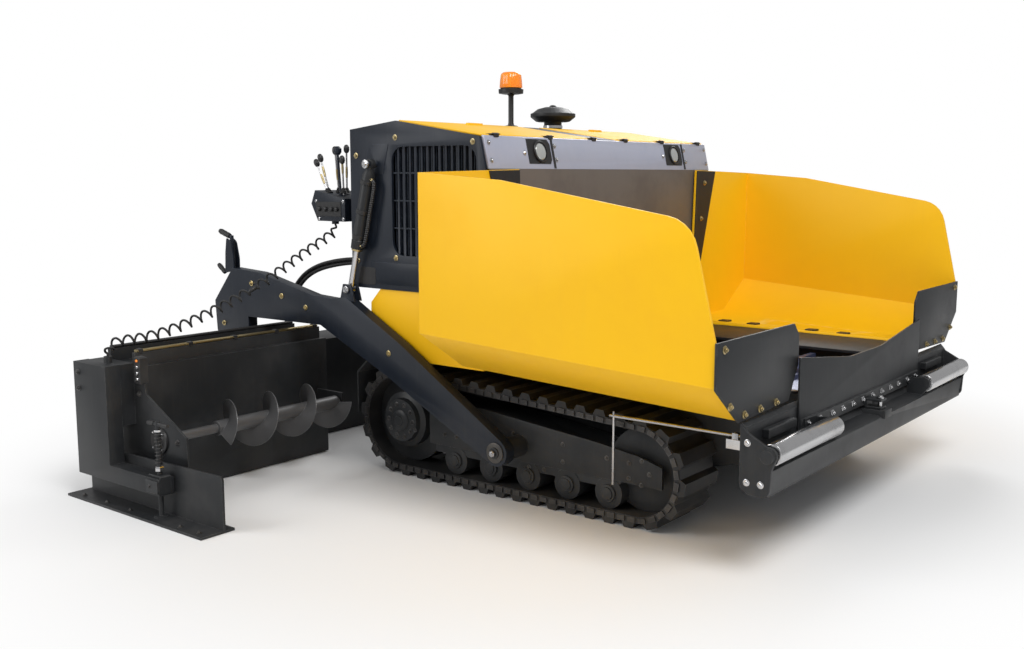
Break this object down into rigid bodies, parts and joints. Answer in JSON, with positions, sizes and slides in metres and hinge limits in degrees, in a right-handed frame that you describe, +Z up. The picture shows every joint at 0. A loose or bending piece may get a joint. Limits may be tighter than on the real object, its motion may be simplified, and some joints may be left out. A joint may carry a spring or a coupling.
{
  "type": "asphalt paver",
  "caption": "Tracked asphalt paver with a folding hopper, push rollers, conveyor tunnel, screw augers and a towed floating screed with sliding extensions.",
  "frame": {"origin": "centre of the bounding box, at floor level", "axes": "+X the paving direction, +Y the left side, +Z up"},
  "size_m": [3.8497, 4.668, 2.198],
  "materials": {
    "yellow_paint": "gloss",
    "graphite_paint": "satin",
    "blue_grey_paint": "satin",
    "bright_steel": "bright",
    "worn_steel": "worn",
    "rubber": "matt",
    "silver_paint": "satin",
    "amber_lens": "clear"
  },
  "bodies": {
    "base": {"main_frame": "graphite_paint", "conveyor": "worn_steel", "push_beam": "blue_grey_paint", "front_apron": "graphite_paint", "steering_guide": "graphite_paint", "hopper_back_wall": "worn_steel", "light_panel": "silver_paint", "rear_cowl": "blue_grey_paint", "beacon": "amber_lens", "pre_cleaner": "graphite_paint", "engine_block": "graphite_paint", "track_frame_l": "blue_grey_paint", "track_frame_r": "blue_grey_paint", "track_l": "rubber", "track_r": "rubber", "side_panel_l": "blue_grey_paint", "side_panel_r": "blue_grey_paint", "side_tank_l": "yellow_paint", "side_tank_r": "yellow_paint", "console_l": "blue_grey_paint", "console_r": "blue_grey_paint", "hose_bundle_l": "rubber", "hose_bundle_r": "rubber", "curly_cord": "rubber"},
    "screed": {"screed_main": "blue_grey_paint", "walkway": "graphite_paint", "tow_arm_l": "blue_grey_paint", "tow_arm_r": "blue_grey_paint"},
    "wing_l": {"hopper_wing_l": "yellow_paint", "wing_flashing_l": "graphite_paint"},
    "hood_l": {"hood_door_l": "yellow_paint"},
    "push_roller_body_l": {"push_roller_l": "bright_steel"},
    "main_auger_body_l": {"main_auger_l": "worn_steel"},
    "barrel_l": {"lift_barrel_l": "graphite_paint"},
    "rod_l": {"lift_rod_l": "bright_steel"},
    "extension_l": {"screed_extension_l": "blue_grey_paint"},
    "extension_auger_body_l": {"extension_auger_l": "worn_steel"},
    "gate_l": {"end_gate_l": "worn_steel"},
    "wing_r": {"hopper_wing_r": "yellow_paint", "wing_flashing_r": "graphite_paint"},
    "hood_r": {"hood_door_r": "yellow_paint"},
    "push_roller_body_r": {"push_roller_r": "bright_steel"},
    "main_auger_body_r": {"main_auger_r": "worn_steel"},
    "barrel_r": {"lift_barrel_r": "graphite_paint"},
    "rod_r": {"lift_rod_r": "bright_steel"},
    "extension_r": {"screed_extension_r": "blue_grey_paint"},
    "extension_auger_body_r": {"extension_auger_r": "worn_steel"},
    "gate_r": {"end_gate_r": "worn_steel"}
  },
  "joints": [
    {"name": "screed_lift", "type": "hinge", "parent": "base", "child": "screed", "pos_m": [0.436, 0, 0.28], "axis": [0, 1, 0], "range_deg": [0, 8], "deforming": ["hose_bundle_l", "hose_bundle_r", "curly_cord"]},
    {"name": "wing_fold_l", "type": "hinge", "parent": "base", "child": "wing_l", "pos_m": [0.345, 0.845, 0.69], "axis": [1, 0, 0], "range_deg": [0, 55]},
    {"name": "hood_open_l", "type": "hinge", "parent": "base", "child": "hood_l", "pos_m": [0.277, 0.1, 1.789], "axis": [0, 1, 0], "range_deg": [0, 70]},
    {"name": "push_roller_turn_l", "type": "hinge", "parent": "base", "child": "push_roller_body_l", "pos_m": [1.88, 0.93, 0.52], "axis": [0, 1, 0], "continuous": true},
    {"name": "main_auger_turn_l", "type": "hinge", "parent": "base", "child": "main_auger_body_l", "pos_m": [-0.5, 0.3, 0.33], "axis": [0, 1, 0], "continuous": true},
    {"name": "cylinder_swing_l", "type": "hinge", "parent": "base", "child": "barrel_l", "pos_m": [-0.41, 1.146, 1.655], "axis": [0, 1, 0], "range_deg": [-9, 0]},
    {"name": "cylinder_stroke_l", "type": "slide", "parent": "barrel_l", "child": "rod_l", "axis": [0.2443, 0, 0.9697], "range_m": [0, 0.16]},
    {"name": "extension_slide_l", "type": "slide", "parent": "screed", "child": "extension_l", "axis": [0, -1, 0], "range_m": [0, 0.908]},
    {"name": "extension_auger_turn_l", "type": "hinge", "parent": "extension_l", "child": "extension_auger_body_l", "pos_m": [-0.86, 1.5, 0.33], "axis": [0, 1, 0], "continuous": true},
    {"name": "end_gate_lift_l", "type": "slide", "parent": "extension_l", "child": "gate_l", "axis": [0, 0, 1], "range_m": [0, 0.1]},
    {"name": "wing_fold_r", "type": "hinge", "parent": "base", "child": "wing_r", "pos_m": [0.345, -0.845, 0.69], "axis": [-1, 0, 0], "range_deg": [0, 55]},
    {"name": "hood_open_r", "type": "hinge", "parent": "base", "child": "hood_r", "pos_m": [0.277, -0.1, 1.789], "axis": [0, 1, 0], "range_deg": [0, 70]},
    {"name": "push_roller_turn_r", "type": "hinge", "parent": "base", "child": "push_roller_body_r", "pos_m": [1.88, -0.93, 0.52], "axis": [0, 1, 0], "continuous": true},
    {"name": "main_auger_turn_r", "type": "hinge", "parent": "base", "child": "main_auger_body_r", "pos_m": [-0.5, -0.3, 0.33], "axis": [0, 1, 0], "continuous": true},
    {"name": "cylinder_swing_r", "type": "hinge", "parent": "base", "child": "barrel_r", "pos_m": [-0.41, -1.146, 1.655], "axis": [0, 1, 0], "range_deg": [-9, 0]},
    {"name": "cylinder_stroke_r", "type": "slide", "parent": "barrel_r", "child": "rod_r", "axis": [0.2443, 0, 0.9697], "range_m": [0, 0.16]},
    {"name": "extension_slide_r", "type": "slide", "parent": "screed", "child": "extension_r", "axis": [0, 1, 0], "range_m": [0, 0.908]},
    {"name": "extension_auger_turn_r", "type": "hinge", "parent": "extension_r", "child": "extension_auger_body_r", "pos_m": [-0.86, -1.5, 0.33], "axis": [0, 1, 0], "continuous": true},
    {"name": "end_gate_lift_r", "type": "slide", "parent": "extension_r", "child": "gate_r", "axis": [0, 0, 1], "range_m": [0, 0.1]}
  ],
  "couplings": [
    {"joint": "cylinder_swing_l", "follows": "screed_lift", "ratio": -1.0151},
    {"joint": "cylinder_stroke_l", "follows": "screed_lift", "m_per_rad": 1.0834},
    {"joint": "cylinder_swing_r", "follows": "screed_lift", "ratio": -1.0151},
    {"joint": "cylinder_stroke_r", "follows": "screed_lift", "m_per_rad": 1.0834}
  ]
}
